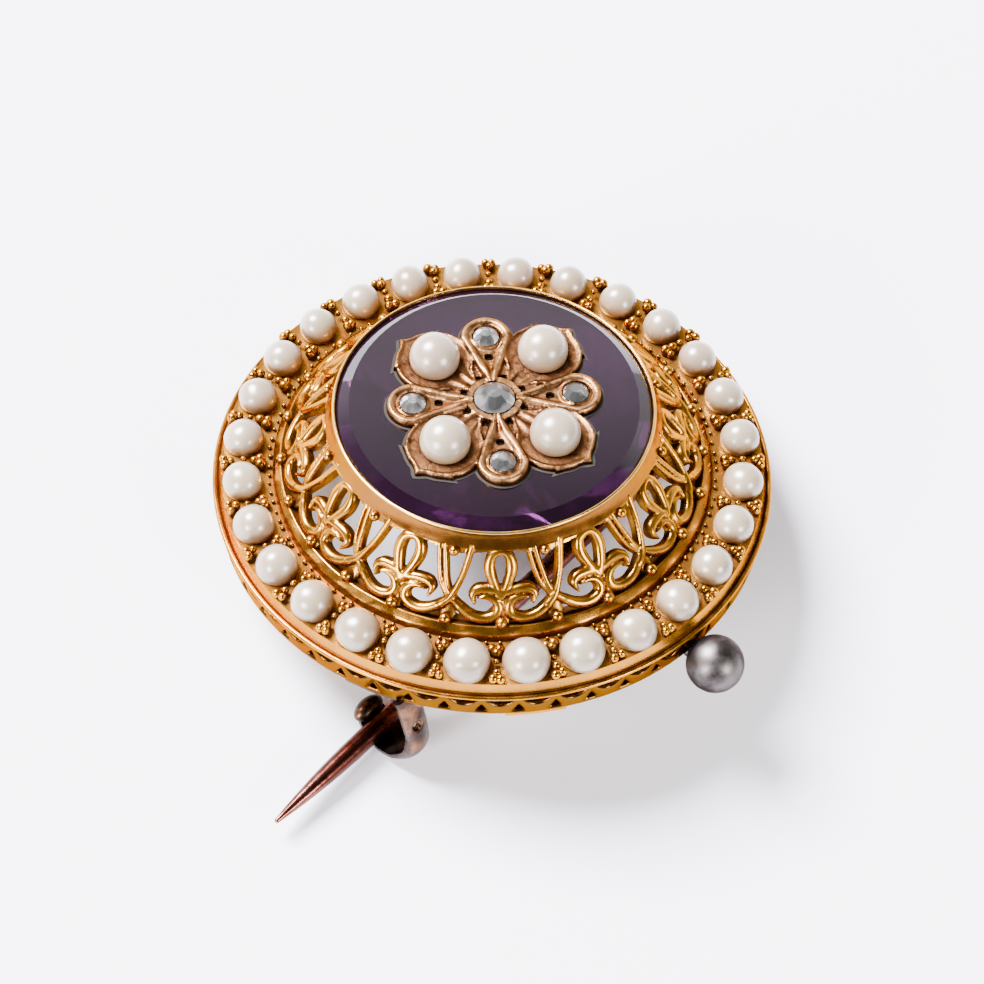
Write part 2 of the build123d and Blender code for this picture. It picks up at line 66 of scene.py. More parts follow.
PEARL_RADIUS = 1.18
LARGE_PEARL_RADIUS = 1.40
LARGE_PEARL_TURN = 40.0
PEARL_GROWTH = 4
PEARL_TURN = -0.8
PEARL_COUNT = 28
PEARL_PITCH = 360 / PEARL_COUNT
PEARL_CIRCLE = 14.40
PEARL_Z = 1.04
PEARL_BASE_Z = 0.35
DECK_Z = 0.85
DECK_UNDER = -0.35

# Cone line that the openwork's ridges lie on, from its foot to its top
CONE_FOOT = (12.39, 1.12)
CONE_TOP = (9.56, 4.88)
SLANT = math.hypot(CONE_FOOT[0] - CONE_TOP[0], CONE_TOP[1] - CONE_FOOT[1])
CONE_OUT = (CONE_TOP[1] - CONE_FOOT[1]) / SLANT
CONE_UP = (CONE_FOOT[0] - CONE_TOP[0]) / SLANT
UNIT_COUNT = 12
UNIT_TURN = 16.4
UNIT_PITCH = 360 / UNIT_COUNT
ACROSS = 0.192  # width of one degree at mid height
SHELL = 0.60

BEZEL_INNER = 8.99
BEZEL_TOP_Z = 5.86
TABLE_Z = 6.15

FLOWER_TURN = 49.3
FLOWER_TOP = 0.51  # above the table
CORNER_TOP = 0.37
TEARDROP_SPOT = 4.61
TEARDROP_RADIUS = 1.49
CORNER_SPOT = 4.37
CORNER_RADIUS = 2.25
CUSP_REACH = 2.63
WEB_RADIUS = 4.22
PETAL_DIAMOND_RADIUS = 0.74
CENTRE_DIAMOND_RADIUS = 1.15


def pearl_angle(number):
    """Angle of a border pearl about the axis, in degrees."""
    return PEARL_TURN + (number - 1) * PEARL_PITCH


def pearl_radius(number):
    """Radius of a border pearl, largest on the side of the pin's tip."""
    nearness = (1 + math.cos(math.radians(pearl_angle(number) - LARGE_PEARL_TURN))) / 2
    return PEARL_RADIUS + (LARGE_PEARL_RADIUS - PEARL_RADIUS) * nearness**PEARL_GROWTH


def laid_matrix():
    """Matrix from the brooch's own millimetres to the lying brooch in metres."""
    along_y = -Vector(frame["joints"][0]["axis"]).normalized()
    along_pin = Vector((1, 0, 0))
    lifted = along_pin.cross(along_y)
    along_x = along_pin * math.cos(PIN_FALL) + lifted * math.sin(PIN_FALL)
    along_z = along_x.cross(along_y)
    centre = Vector((0, 0, 0))
    for number in range(1, PEARL_COUNT + 1):
        low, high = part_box(f"border_pearl_{number:02d}")
        middle = (Vector(low) + Vector(high)) / 2
        centre += Vector((middle.x, middle.y, high[2] - pearl_radius(number) * MM)) / PEARL_COUNT
    origin = centre - along_z * PEARL_Z * MM
    columns = Matrix((along_x * MM, along_y * MM, along_z * MM)).transposed()
    return Matrix.Translation(origin) @ columns.to_4x4()


laid = laid_matrix()


# Materials

def new_material(name):
    """New node material and its shader."""
    material = bpy.data.materials.new(name)
    material.use_nodes = True
    shader = material.node_tree.nodes["Principled BSDF"]
    return material, shader


WHITE = (1, 1, 1)
SUNK_WEIGHT = 0.42  # how much a sunk place of a relief counts against its openness, darkening it as painted shade
DIRT_ROUGHNESS = 0.62


class Nodes:
    """Short way to add and link nodes of one material."""

    def __init__(self, material):
        self.tree = material.node_tree

    def add(self, kind, inputs=None, **settings):
        """New node; its inputs are values to set or outputs to link."""
        node = self.tree.nodes.new(kind)
        for name, value in settings.items():
            setattr(node, name, value)
        for name, value in (inputs or {}).items():
            if hasattr(value, "links"):
                self.tree.links.new(value, node.inputs[name])
            else:
                node.inputs[name].default_value = value
        return node

    def link(self, output, socket):
        """Join an output to an input."""
        self.tree.links.new(output, socket)

    def spots(self):
        """Place on the object, in metres."""
        return self.add("ShaderNodeTexCoord").outputs["Object"]

    def noise(self, scale, detail=3.0, rough=0.5):
        """Noise over the object, from 0 to 1."""
        node = self.add(
            "ShaderNodeTexNoise",
            {"Vector": self.spots(), "Scale": scale, "Detail": detail, "Roughness": rough},
        )
        return node.outputs["Fac"]

    def ramp(self, factor, stops):
        """Colour ramp of (position, colour) stops."""
        node = self.add("ShaderNodeValToRGB", {"Fac": factor})
        elements = node.color_ramp.elements
        while len(elements) < len(stops):
            elements.new(0.5)
        for element, (position, colour) in zip(elements, stops):
            element.position = position
            element.color = (*colour, 1)
        return node.outputs["Color"]

    def mix(self, factor, first, second, blend="MIX"):
        """Blend of two colours, each a tuple or an output."""
        node = self.add("ShaderNodeMix", data_type="RGBA", blend_type=blend)
        for number, value in ((0, factor), (6, first), (7, second)):
            socket = node.inputs[number]
            if hasattr(value, "links"):
                self.link(value, socket)
            elif isinstance(value, tuple):
                socket.default_value = (*value, 1)
            else:
                socket.default_value = value
        return node.outputs[2]

    def bump(self, height, strength, distance):
        """Normal that a height output gives."""
        node = self.add(
            "ShaderNodeBump", {"Height": height, "Strength": strength, "Distance": distance}
        )
        return node.outputs["Normal"]


def gold_material(name, bright, deep, dirt_and_shade, roughness, recess, reach, grain=0.12, grime_and_shade=0.0):
    """Worn gold: bright where it is open, deeper and darker in its recesses, which paints their
    shade as well as dirt.

    recess is the openness at which the deep tone is reached, reach the distance in
    millimetres over which a recess is felt, grain the bump and grime the share of specks.
    """
    material, shader = new_material(name)
    nodes = Nodes(material)
    shader.inputs["Metallic"].default_value = 1.0
    shader.inputs["Specular Tint"].default_value = (1.0, 0.55, 0.10, 1)
    openness = nodes.add(
        "ShaderNodeAmbientOcclusion", {"Distance": reach * MM}, samples=6
    ).outputs["AO"]
    sunk = nodes.add("ShaderNodeAttribute", attribute_name="sunk").outputs["Fac"]
    level = nodes.add(
        "ShaderNodeMath", {0: sunk, 1: -SUNK_WEIGHT, 2: openness}, operation="MULTIPLY_ADD"
    ).outputs[0]
    filled = recess * 0.45
    # Recesses take the darkest tone: painted shade as well as dirt.
    tone = nodes.ramp(level, [(filled, dirt_and_shade), (recess, deep), (recess * 1.4, bright)])
    patches = nodes.ramp(nodes.noise(420, 4, 0.6), [(0.35, (0.76, 0.68, 0.60)), (0.62, WHITE)])
    tone = nodes.mix(0.7, tone, patches, "MULTIPLY")
    if grime_and_shade:
        specks = nodes.ramp(nodes.noise(1500, 4, 0.65), [(0.36, (0.16, 0.13, 0.12)), (0.50, WHITE)])
        tone = nodes.mix(grime_and_shade, tone, specks, "MULTIPLY")
    nodes.link(tone, shader.inputs["Base Color"])
    rough = nodes.ramp(
        nodes.noise(900, 3, 0.6),
        [(0.3, (roughness * 0.75,) * 3), (0.7, (roughness * 1.35,) * 3)],
    )
    clean = nodes.ramp(level, [(filled, (0, 0, 0)), (recess, WHITE)])
    nodes.link(nodes.mix(clean, (DIRT_ROUGHNESS,) * 3, rough), shader.inputs["Roughness"])
    nodes.link(nodes.bump(nodes.noise(2600, 3, 0.55), grain, 0.06 * MM), shader.inputs["Normal"])
    return material


gold = gold_material(
    "gold", (0.47, 0.215, 0.022), (0.27, 0.120, 0.020), (0.095, 0.042, 0.012),
    roughness=0.24, recess=0.64, reach=0.9,
)
smooth_gold = gold_material(
    "smooth_gold", (0.42, 0.185, 0.022), (0.31, 0.130, 0.019), (0.15, 0.064, 0.015),
    roughness=0.24, recess=0.62, reach=1.0, grain=0.08,
)
# Lighter copy of the gold for the bezel's lip: a painted highlight.
highlight_gold = gold_material(
    "highlight_gold", (0.80, 0.50, 0.14), (0.60, 0.33, 0.07), (0.25, 0.11, 0.02),
    roughness=0.22, recess=0.50, reach=0.3, grain=0.05,
)
# Darker copy of the gold for the bezel: its darkness is painted shade.
shaded_gold = gold_material(
    "shaded_gold", (0.20, 0.078, 0.014), (0.17, 0.062, 0.012), (0.12, 0.042, 0.009),
    roughness=0.20, recess=0.60, reach=0.8, grain=0.10,
)
# Much darker copy of the gold for the gallery wall under the rim: painted shade.
shaded_wall_gold = gold_material(
    "shaded_wall_gold", (0.105, 0.048, 0.011), (0.060, 0.025, 0.006), (0.010, 0.004, 0.001),
    roughness=0.20, recess=0.58, reach=0.7, grain=0.22,
)
rose_gold = gold_material(
    "rose_gold", (0.37, 0.190, 0.080), (0.16, 0.068, 0.028), (0.014, 0.006, 0.004),
    roughness=0.34, recess=0.72, reach=0.9, grain=0.8, grime_and_shade=0.8,
)


def pearl_material():
    """Nacre: creamy, with painted warm shade and a painted reflection of the gold where gold stands
    close to it.
    """
    material, shader = new_material("pearl")
    nodes = Nodes(material)
    openness = nodes.add(
        "ShaderNodeAmbientOcclusion", {"Distance": 1.3 * MM}, samples=6
    ).outputs["AO"]
    # Ambient occlusion darkens and warms the colour near the gold: painted shade and painted
    # reflection.
    shade = nodes.ramp(
        openness, [(0.25, (0.62, 0.40, 0.22)), (0.60, (0.85, 0.71, 0.57)), (0.95, WHITE)]
    )
    tint = nodes.ramp(
        nodes.noise(160, 2, 0.5),
        [(0.35, (0.23, 0.165, 0.105)), (0.5, (0.32, 0.255, 0.180)), (0.68, (0.27, 0.197, 0.148))],
    )
    nodes.link(nodes.mix(1.0, tint, shade, "MULTIPLY"), shader.inputs["Base Color"])
    shader.inputs["Roughness"].default_value = 0.30
    shader.inputs["Specular IOR Level"].default_value = 1.0
    shader.inputs["Coat Weight"].default_value = 0.6
    shader.inputs["Coat Roughness"].default_value = 0.32
    shader.inputs["Subsurface Weight"].default_value = 0.15
    shader.inputs["Subsurface Radius"].default_value = (0.9, 0.7, 0.6)
    shader.inputs["Subsurface Scale"].default_value = 0.5 * MM
    return material


def amethyst_material():
    """Deep purple, seen through."""
    material, shader = new_material("amethyst")
    nodes = Nodes(material)
    tint = nodes.ramp(
        nodes.noise(110, 2, 0.5), [(0.3, (0.016, 0.003, 0.016)), (0.7, (0.038, 0.007, 0.039))]
    )
    nodes.link(tint, shader.inputs["Base Color"])
    shader.inputs["Roughness"].default_value = 0.03
    shader.inputs["IOR"].default_value = 1.54
    shader.inputs["Transmission Weight"].default_value = 0.85
    return material


def stone_material():
    """Small old-cut diamonds with a foil behind them: pale and dark noise patches paint bright and
    dull facets, a painted glint.
    """
    material, shader = new_material("clear_stone")
    nodes = Nodes(material)
    tint = nodes.ramp(
        nodes.noise(700, 2, 0.5), [(0.42, (0.20, 0.20, 0.20)), (0.58, (0.80, 0.79, 0.78))]
    )
    nodes.link(tint, shader.inputs["Base Color"])
    shader.inputs["Metallic"].default_value = 0.9
    shader.inputs["Roughness"].default_value = 0.14
    return material


def tarnish_material(name, dark, mid, bare, roughness, bare_from, patch):
    """Old copper alloy: dark film with bare warm patches where the noise passes bare_from."""
    material, shader = new_material(name)
    nodes = Nodes(material)
    shader.inputs["Metallic"].default_value = 1.0
    stops = [(bare_from - 0.20, dark), (bare_from - 0.08, mid), (bare_from, mid)]
    tone = nodes.ramp(nodes.noise(patch, 5, 0.6), [*stops, (bare_from + 0.08, bare)])
    nodes.link(tone, shader.inputs["Base Color"])
    rough = nodes.ramp(
        nodes.noise(700, 3, 0.5), [(0.3, (roughness * 0.7,) * 3), (0.7, (roughness * 1.4,) * 3)]
    )
    nodes.link(rough, shader.inputs["Roughness"])
    nodes.link(nodes.bump(nodes.noise(1100, 4, 0.6), 0.25, 0.1 * MM), shader.inputs["Normal"])
    return material


def knob_material():
    """Dull silver with soft dark patches."""
    material, shader = new_material("knob_silver")
    nodes = Nodes(material)
    shader.inputs["Metallic"].default_value = 1.0
    shader.inputs["Roughness"].default_value = 0.42
    shader.inputs["Specular Tint"].default_value = (0.50, 0.47, 0.46, 1)
    tone = nodes.ramp(
        nodes.noise(700, 3, 0.6), [(0.40, (0.036, 0.031, 0.030)), (0.60, (0.105, 0.093, 0.092))]
    )
    nodes.link(tone, shader.inputs["Base Color"])
    return material


def plain_material(name, colour, roughness):
    """One even colour."""
    material, shader = new_material(name)
    nodes = Nodes(material)
    almost = tuple(0.99 * part for part in colour)
    tone = nodes.ramp(nodes.noise(3, 2), [(0.0, colour), (1.0, almost)])
    nodes.link(tone, shader.inputs["Base Color"])
    shader.inputs["Roughness"].default_value = roughness
    shader.inputs["Specular IOR Level"].default_value = 0.2
    return material


pearl = pearl_material()
amethyst = amethyst_material()
clear_stone = stone_material()
hook_metal = tarnish_material(
    "hook_metal", (0.010, 0.008, 0.008), (0.036, 0.022, 0.016), (0.19, 0.088, 0.045),
    roughness=0.30, bare_from=0.45, patch=220,
)
pin_metal = tarnish_material(
    "pin_metal", (0.05, 0.014, 0.010), (0.15, 0.052, 0.038), (0.33, 0.15, 0.12),
    roughness=0.24, bare_from=0.62, patch=330,
)
knob_silver = knob_material()
# Near-black colour for the film round the flower: a painted shadow.
grime_and_shade = plain_material("grime_and_shade", (0.020, 0.016, 0.012), 0.7)


# Shapes

def new_piece(name, points, faces, material, smooth_to=40.0, attribute=None):
    """Mesh piece from points in the brooch's own frame; it rides on the brooch."""
    mesh = bpy.data.meshes.new(name)
    mesh.from_pydata([tuple(point) for point in points], [], faces)
    if attribute is not None:
        layer = mesh.attributes.new("sunk", "FLOAT", "POINT")
        layer.data.foreach_set("value", attribute)
    mesh.transform(laid)
    mesh.update()
    for polygon in mesh.polygons:
        polygon.use_smooth = True
    mesh.set_sharp_from_angle(angle=math.radians(smooth_to))
    piece = bpy.data.objects.new(name, mesh)
    bpy.context.scene.collection.objects.link(piece)
    mesh.materials.append(material)
    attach(piece, "brooch")
    return piece


def at_angle(radius, degrees, height):
    """Place at a radius and angle about the brooch's axis."""
    angle = math.radians(degrees)
    return (radius * math.cos(angle), radius * math.sin(angle), height)


def turned(name, profile, material, steps=256, start=0.0, sweep=360.0, smooth_to=40.0):
    """Closed half section (radius, height) turned about the axis, in order anticlockwise."""
    full = sweep >= 360
    rings = steps if full else steps + 1
    points, faces = [], []
    for step in range(rings):
        degrees = start + sweep * step / steps
        points += [at_angle(radius, degrees, height) for radius, height in profile]
    size = len(profile)
    for step in range(steps):
        here, there = step * size, (step + 1) % rings * size
        for spot in range(size):
            after = (spot + 1) % size
            faces.append((here + spot, here + after, there + after, there + spot))
    if not full:
        faces.append(tuple(reversed(range(size))))
        faces.append(tuple((rings - 1) * size + spot for spot in range(size)))
    return new_piece(name, points, faces, material, smooth_to)


def rounded(start, corner, end, radius, steps=4):
    """Points of a rounded corner between two straight edges."""
    start, corner, end = (np.array(spot, float) for spot in (start, corner, end))
    back = (start - corner) / np.linalg.norm(start - corner)
    on = (end - corner) / np.linalg.norm(end - corner)
    points = []
    for step in range(steps + 1):
        share = step / steps
        first, last = corner + back * radius, corner + on * radius
        blend = (1 - share) ** 2 * first + 2 * share * (1 - share) * corner + share**2 * last
        points.append(tuple(blend))
    return points


def smooth_line(spots, steps=8):
    """Curve through the spots; every column, such as a width, is carried along."""
    spots = np.array(spots, float)
    ends = np.vstack([2 * spots[0] - spots[1], spots, 2 * spots[-1] - spots[-2]])
    curve = []
    for index in range(1, len(ends) - 2):
        before, here, there, after = ends[index - 1:index + 3]
        for step in range(steps):
            t = step / steps
            square = 2 * before - 5 * here + 4 * there - after
            cube = 3 * here - before - 3 * there + after
            curve.append(0.5 * (2 * here + (there - before) * t + square * t**2 + cube * t**3))
    curve.append(ends[-2])
    return np.array(curve)


def ribbon_depth(x, y, line):
    """Distance inside a ribbon and its half width there, for grids of x and y."""
    best = np.full(x.shape, 1e9)
    width = np.zeros(x.shape)
    for (ax, ay, aw), (bx, by, bw) in zip(line[:-1], line[1:]):
        dx, dy = bx - ax, by - ay
        share = np.clip(((x - ax) * dx + (y - ay) * dy) / (dx * dx + dy * dy + 1e-12), 0, 1)
        distance = np.hypot(x - ax - share * dx, y - ay - share * dy)
        half = aw + (bw - aw) * share
        nearer = distance - half < best
        best = np.where(nearer, distance - half, best)
        width = np.where(nearer, half, width)
    return -best, width


BACK_SHADE = 0.8  # share of painted shade on the back of a sheet


def relief_sheet(name, x, y, depth, lift, surface, thickness, material, shade, wrap=False):
    """Sheet that is solid where depth is above 0, raised by lift, with walls and a back.

    x and y are the grid's lines, depth and lift are arrays over it, and surface gives
    points in the brooch's frame for arrays of x, y and height above the sheet. shade holds
    the heights at which the metal is fully darkened, by painted shade and dirt, and fully
    clean. A sheet that wraps closes on itself along x.
    """
    rows, columns = depth.shape
    spans = columns if wrap else columns - 1
    faces, rims = [], []
    index = np.full(depth.shape, -1)
    solid = depth > 0
    index[solid] = np.arange(solid.sum())
    grid_y, grid_x = np.nonzero(solid)
    xs = list(x[grid_x])
    ys = list(y[grid_y])
    heights = list(lift[solid])
    crossings = {}
    step_x = x[1] - x[0]

    def crossing(first, second):
        """Number of the point where the outline cuts the edge between two grid places."""
        key = (first, second) if first < second else (second, first)
        if key not in crossings:
            (r0, c0), (r1, c1) = key
            d0, d1 = depth[r0, c0], depth[r1, c1]
            share = min(max(d0 / (d0 - d1), 0.08), 0.92)
            x0, x1 = x[c0], x[c1]
            if abs(c1 - c0) > 1:
                x0 = x1 + step_x if c0 < c1 else x0
                x1 = x1 if c0 < c1 else x0 + step_x
            inside = (r0, c0) if d0 > 0 else (r1, c1)
            crossings[key] = len(xs)
            xs.append(x0 + (x1 - x0) * share)
            ys.append(y[r0] + (y[r1] - y[r0]) * share)
            heights.append(min(lift[inside], 0.5 * (lift[r0, c0] + lift[r1, c1])))
        return crossings[key]

    for row in range(rows - 1):
        for column in range(spans):
            after = (column + 1) % columns
            corners = ((row, column), (row, after), (row + 1, after), (row + 1, column))
            inside = [index[corner] >= 0 for corner in corners]
            if not any(inside):
                continue
            if all(inside):
                faces.append(tuple(int(index[corner]) for corner in corners))
                continue
            loop, cuts = [], []
            for spot in range(4):
                here, there = corners[spot], corners[(spot + 1) % 4]
                if inside[spot]:
                    loop.append(int(index[here]))
                if inside[spot] != inside[(spot + 1) % 4]:
                    cut = crossing(here, there)
                    loop.append(cut)
                    cuts.append((cut, inside[spot]))
            if len(loop) >= 3:
                faces.append(tuple(loop))
            if len(cuts) == 2:
                leave = cuts[0][0] if cuts[0][1] else cuts[1][0]
                enter = cuts[1][0] if cuts[0][1] else cuts[0][0]
                rims.append((leave, enter))
    xs, ys, heights = np.array(xs), np.array(ys), np.array(heights)
    front = surface(xs, ys, heights)
    back = surface(xs, ys, np.full(xs.shape, -thickness))
    count = len(xs)
    faces += [tuple(count + corner for corner in reversed(face)) for face in faces]
    faces += [(leave, count + leave, count + enter, enter) for leave, enter in rims]

    def close(first, second, forward):
        """Wall between front and back along a solid edge of the grid."""
        a, b = int(index[first]), int(index[second])
        if a >= 0 and b >= 0:
            a, b = (a, b) if forward else (b, a)
            faces.append((a, b, count + b, count + a))

    if not wrap:
        for row in range(rows - 1):
            close((row, 0), (row + 1, 0), False)
            close((row, columns - 1), (row + 1, columns - 1), True)
    for row, forward in ((0, False), (rows - 1, True)):
        for column in range(spans):
            close((row, column), (row, (column + 1) % columns), forward)
    points = np.vstack([front, back])
    # Lower places and the sheet's back get a sunk share, which the gold paints darker as shade.
    low, high = shade
    depth_share = np.clip((high - heights) / (high - low), 0, 1)
    sunk = np.concatenate([depth_share, np.full(count, BACK_SHADE)])
    return new_piece(name, points, faces, material, 50.0, sunk)


def domed(depth, half, height):
    """Profile of a rounded ribbon."""
    share = np.clip(depth / np.maximum(half, 1e-6), 0, 1)
    return height * np.sqrt(1 - (1 - share) ** 2)


# One unit of the openwork. Columns: degrees from the unit's middle, share of the slant
# height, half width.
LOOP_HALF = [
    (-0.6, 0.430, 0.26), (0.7, 0.530, 0.27), (1.8, 0.635, 0.31), (2.7, 0.755, 0.35),
    (2.6, 0.860, 0.34), (1.6, 0.940, 0.29), (-0.4, 0.975, 0.24),
]
SCROLL = [
    (7.2, 0.405, 0.08), (6.0, 0.422, 0.15), (4.2, 0.420, 0.20), (2.5, 0.385, 0.26),
    (1.5, 0.305, 0.29), (2.1, 0.215, 0.30), (4.2, 0.165, 0.31),
    (6.8, 0.158, 0.30), (9.6, 0.195, 0.30), (12.4, 0.275, 0.28),
]
STRAND = [
    (12.4, 0.275, 0.27), (14.6, 0.370, 0.24), (16.3, 0.525, 0.20), (17.8, 0.705, 0.20),
    (18.8, 0.875, 0.22), (19.6, 1.030, 0.24),
]
TWIN = [
    (13.4, 0.400, 0.17), (11.3, 0.540, 0.16), (10.0, 0.710, 0.16), (9.1, 0.875, 0.17),
    (8.4, 1.030, 0.18),
]
MAIN = [
    (17.6, 0.275, 0.27), (15.2, 0.370, 0.22), (13.2, 0.515, 0.19), (12.1, 0.705, 0.18),
    (11.2, 0.875, 0.19), (10.6, 1.030, 0.20),
]
LEAF = [
    (1.0, 0.480, 0.26), (3.4, 0.508, 0.30), (5.8, 0.514, 0.32), (7.8, 0.498, 0.32),
    (9.0, 0.450, 0.25), (8.8, 0.385, 0.15), (8.2, 0.325, 0.06),
]
SEAM = [
    (-0.4, 0.480, 0.40), (-0.3, 0.360, 0.32), (-0.3, 0.260, 0.26), (-0.4, 0.170, 0.34),
    (-0.5, 0.110, 0.36),
]
CROSSING = [(14.8, 0.430, 0.20), (14.6, 0.260, 0.34), (14.4, 0.160, 0.44)]
LOOP_MIDDLE = -0.8  # degrees that the loop's axis stands off the unit's middle

# Bands of the openwork, as shares of the slant height: the floor behind its foot and the
# band that carries its top, which waves once a unit
FLOOR_SHARE = 0.095
FLOOR_HALF = 0.34
FLOOR_LIFT = -0.55
TOP_SHARE = 0.955
TOP_WAVE = 0.03
TOP_LIFT = -0.10


def in_pattern(spots, side=1, shift=0.0):
    """Pattern spots as a smooth line in millimetres on the unrolled cone."""
    return smooth_line([((shift + side * u) * ACROSS, v * SLANT, half) for u, v, half in spots])


def openwork_fields(x, y):
    """Depth and lift of one unit, with the stems that reach in from its neighbours."""
    grid_x, grid_y = np.meshgrid(x, y)
    depth = np.full(grid_x.shape, -1e9)
    lift = np.full(grid_x.shape, -1e9)

    def lay(spots, height, base, side=1, shift=0.0):
        """Add a domed ribbon of a height over its base."""
        nonlocal depth, lift
        inside, half = ribbon_depth(grid_x, grid_y, in_pattern(spots, side, shift))
        depth = np.maximum(depth, inside)
        lift = np.maximum(lift, np.where(inside > 0, base + domed(inside, half, height), -1e9))

    loop = LOOP_HALF + [(2 * LOOP_MIDDLE - u, v, half) for u, v, half in reversed(LOOP_HALF[:-1])]
    for unit in (-1, 0, 1):
        shift = unit * UNIT_PITCH
        lay(loop, 0.25, -0.22, 1, shift)
        lay(SEAM, 0.14, -0.26, 1, shift)
        for side in (-1, 1):
            lay(LEAF, 0.30, -0.27, side, shift)
            lay(SCROLL, 0.25, -0.22, side, shift)
        lay(STRAND, 0.25, -0.16, 1, shift)
        lay(MAIN, 0.25, -0.24, 1, shift)
        lay(TWIN, 0.25, -0.30, 1, shift)
        lay(CROSSING, 0.14, -0.36, 1, shift)
    share = grid_y / SLANT
    floor = FLOOR_HALF - np.abs(share - FLOOR_SHARE) * SLANT
    depth = np.maximum(depth, floor)
    lift = np.where((floor > 0) & (lift < FLOOR_LIFT), FLOOR_LIFT, lift)
    wave = TOP_WAVE * np.cos(2 * math.pi * grid_x / ACROSS / UNIT_PITCH)
    top = (share - TOP_SHARE - wave) * SLANT
    depth = np.maximum(depth, top)
    lift = np.where(top > 0, np.maximum(lift, TOP_LIFT), lift)
    lift = np.where(lift < -1, -0.30, lift)
    return depth, lift


def cone_place(share):
    """Radius and height at a share of the cone's slant."""
    radius = CONE_FOOT[0] + (CONE_TOP[0] - CONE_FOOT[0]) * share
    level = CONE_FOOT[1] + (CONE_TOP[1] - CONE_FOOT[1]) * share
    return radius, level


def cone_surface(x, y, height):
    """Points on the cone for unrolled x and y, raised along its normal."""
    angle = np.radians(x / ACROSS)
    radius, level = cone_place(y / SLANT)
    radius = radius + height * CONE_OUT
    level = level + height * CONE_UP
    return np.column_stack([radius * np.cos(angle), radius * np.sin(angle), level])


UNIT_COLUMNS = 76
OPENWORK_ROWS = 66
unit_x = (np.arange(UNIT_COLUMNS) / UNIT_COLUMNS - 0.5) * UNIT_PITCH * ACROSS
openwork_y = np.linspace(0.05, 1.05, OPENWORK_ROWS) * SLANT
unit_depth, unit_lift = openwork_fields(unit_x, openwork_y)
openwork_x = np.concatenate(
    [unit_x + (unit * UNIT_PITCH + UNIT_TURN) * ACROSS for unit in range(UNIT_COUNT)]
)
# Its shade range darkens the low floor at the foot and the ribbons' lower edges: painted shade.
openwork = relief_sheet(
    "openwork", openwork_x, openwork_y, np.tile(unit_depth, UNIT_COUNT),
    np.tile(unit_lift, UNIT_COUNT), cone_surface, SHELL, gold, (-0.50, -0.10), wrap=True,
)

# Collar, cove and rim, turned in one section. Places are (radius, height).
COLLAR_INSIDE = [(11.66, 0.98), (11.92, 1.18)]
COLLAR_CREST = (12.17, 1.40)
COLLAR_SHOULDER = (12.60, 1.00)
COLLAR_FOOT = (12.66, 0.62)
COVE = [(15.60, 0.62), (15.63, 0.50), (15.68, 0.30), (15.74, 0.10), (15.79, -0.02), (15.82, -0.09)]
SHELL_OUTSIDE = (12.533, 0.93)

rim_middle, rim_half = (RIM_RADIUS + RIM_INNER) / 2, (RIM_RADIUS - RIM_INNER) / 2
rim_edge = [
    (rim_middle + rim_half * math.cos(turn), -rim_half + rim_half * math.sin(turn))
    for turn in np.linspace(math.radians(175), math.radians(-60), 12)
]
shell_inside = (SHELL_OUTSIDE[0] - SHELL * CONE_OUT, SHELL_OUTSIDE[1] - SHELL * CONE_UP)
border_section = [COLLAR_FOOT, *COVE, *rim_edge, (RIM_RADIUS - 0.16, -RIM_DEPTH)]
border_section += [
    (GALLERY_OUTER, -RIM_DEPTH), (GALLERY_INNER, -RIM_DEPTH), (GALLERY_INNER, DECK_UNDER),
]
border_section += [(shell_inside[0] + 0.2, DECK_UNDER), shell_inside, *COLLAR_INSIDE]
border_section += rounded(COLLAR_INSIDE[-1], COLLAR_CREST, (12.40, 1.16), 0.12, 5)
border_section += rounded(COLLAR_CREST, COLLAR_SHOULDER, COLLAR_FOOT, 0.14, 5)
border = turned("border", border_section[::-1], smooth_gold)

# Back ring, its outer edge just inside the wall, and the strip under the gallery
RING_EDGE = 0.02
RING_LIP = 0.10
STRIP_INNER = 15.12
STRIP_OUTER = 15.84
STRIP_DEPTH = 0.22
STRIP_START = 46.0
STRIP_SWEEP = 12.5

ring_section = [(BACK_INNER, BACK_Z), (GALLERY_OUTER - RING_EDGE, BACK_Z)]
ring_section += [(GALLERY_OUTER, BACK_Z + RING_LIP), (GALLERY_INNER, BACK_Z + RING_LIP + 0.02)]
ring_section += [(GALLERY_INNER, BACK_RING_TOP), (BACK_INNER, BACK_RING_TOP)]
back_ring = turned("back_ring", ring_section[::-1], smooth_gold)
strip_section = [(STRIP_INNER, BACK_Z), (STRIP_INNER, BACK_Z - STRIP_DEPTH)]
strip_section += [(STRIP_OUTER, BACK_Z - STRIP_DEPTH), (STRIP_OUTER, BACK_Z)]
strip = turned("back_strip", strip_section, smooth_gold, 24, STRIP_START, STRIP_SWEEP)

# Bezel with its bearing, and the lip on its edge in a lighter gold, a painted highlight line
BEZEL_OUTER = 9.13
BEZEL_FLANK = [(9.56, 4.86), (9.50, 5.00), (9.40, 5.15), (9.24, 5.58)]
BEARING = [(BEZEL_INNER, 4.84), (8.54, 4.45), (8.54, 4.15), (9.02, 4.15), (9.26, 4.45)]
LIP_RADIUS = 9.07
LIP_Z = 5.77
LIP_HALF = 0.10

bezel_edge, bezel_corner = (BEZEL_OUTER, BEZEL_TOP_Z), (BEZEL_INNER, BEZEL_TOP_Z)
bezel_section = BEZEL_FLANK + rounded(BEZEL_FLANK[-1], bezel_edge, bezel_corner, 0.05)
bezel_section += rounded(bezel_edge, bezel_corner, BEARING[0], 0.03) + BEARING
bezel = turned("bezel", bezel_section[::-1], shaded_gold)
lip_section = [
    (LIP_RADIUS + LIP_HALF * math.cos(turn), LIP_Z + LIP_HALF * math.sin(turn))
    for turn in np.linspace(0, 2 * math.pi, 13)[:-1]
]
bezel_lip = turned("bezel_lip", lip_section, highlight_gold, smooth_to=80)

